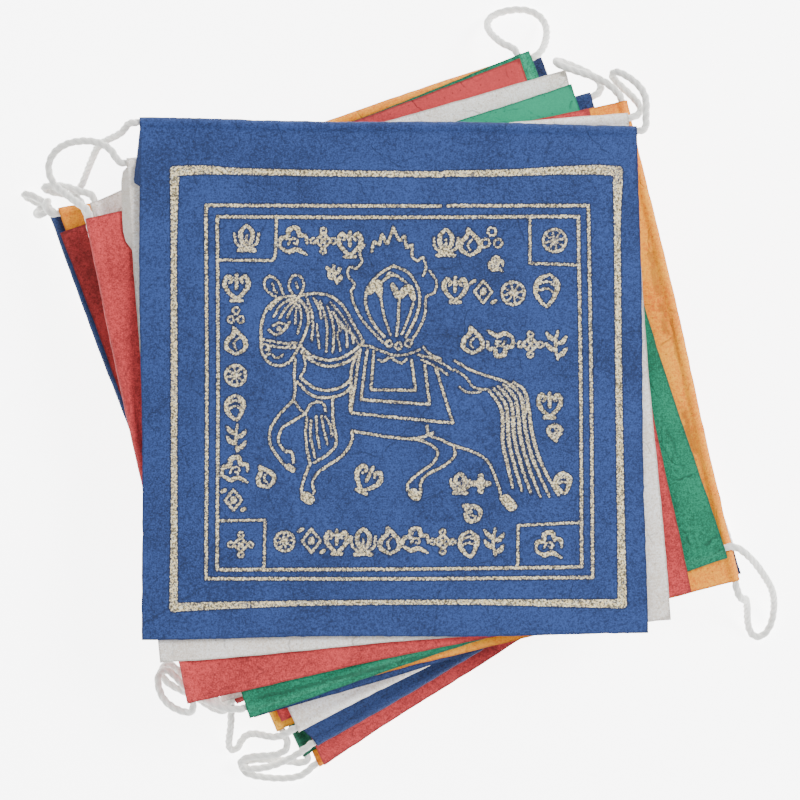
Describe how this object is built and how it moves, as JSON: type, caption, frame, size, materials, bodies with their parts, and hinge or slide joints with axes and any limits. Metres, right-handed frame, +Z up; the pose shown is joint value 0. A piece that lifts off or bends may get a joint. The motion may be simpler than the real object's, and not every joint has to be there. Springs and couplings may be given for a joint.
{
  "type": "folded paper prayer flag string",
  "caption": "String of square handmade paper prayer flags on a twisted cotton cord, folded into a fanned stack that lies flat.",
  "frame": {"origin": "on the resting surface, under the middle of the fanned stack's outline", "axes": "+Z up through the stack, +Y towards the top flag's hem, +X to the right of a reader of the top flag"},
  "size_m": [0.2334, 0.2394, 0.0371],
  "materials": {
    "blue_paper": "matte dyed handmade paper, mottled deep blue, the top sheet with a speckled pale gold print",
    "white_paper": "matte undyed handmade paper, warm off-white with long fibres",
    "red_paper": "matte dyed handmade paper, soft faded red",
    "green_paper": "matte dyed handmade paper, mid green",
    "yellow_paper": "matte dyed handmade paper, warm orange-yellow",
    "cotton_cord": "natural cotton, three strands twisted, matte"
  },
  "bodies": {
    "root": {"flag_01_blue": "blue_paper", "flag_02_white": "white_paper", "flag_03_red": "red_paper", "flag_04_green": "green_paper", "flag_05_yellow": "yellow_paper", "flag_06_blue": "blue_paper", "flag_07_white": "white_paper", "flag_08_red": "red_paper", "flag_09_green": "green_paper", "flag_10_yellow": "yellow_paper", "flag_11_blue": "blue_paper", "flag_12_white": "white_paper", "flag_13_red": "red_paper", "flag_14_green": "green_paper", "flag_15_yellow": "yellow_paper", "flag_16_blue": "blue_paper", "flag_17_white": "white_paper", "flag_18_red": "red_paper", "flag_19_green": "green_paper", "flag_20_yellow": "yellow_paper", "tail_start": "cotton_cord", "link_01_02": "cotton_cord", "link_02_03": "cotton_cord", "link_03_04": "cotton_cord", "link_04_05": "cotton_cord", "link_05_06": "cotton_cord", "link_06_07": "cotton_cord", "link_07_08": "cotton_cord", "link_08_09": "cotton_cord", "link_09_10": "cotton_cord", "link_10_11": "cotton_cord", "link_11_12": "cotton_cord", "link_12_13": "cotton_cord", "link_13_14": "cotton_cord", "link_14_15": "cotton_cord", "link_15_16": "cotton_cord", "link_16_17": "cotton_cord", "link_17_18": "cotton_cord", "link_18_19": "cotton_cord", "link_19_20": "cotton_cord", "tail_end": "cotton_cord"}
  },
  "joints": []
}
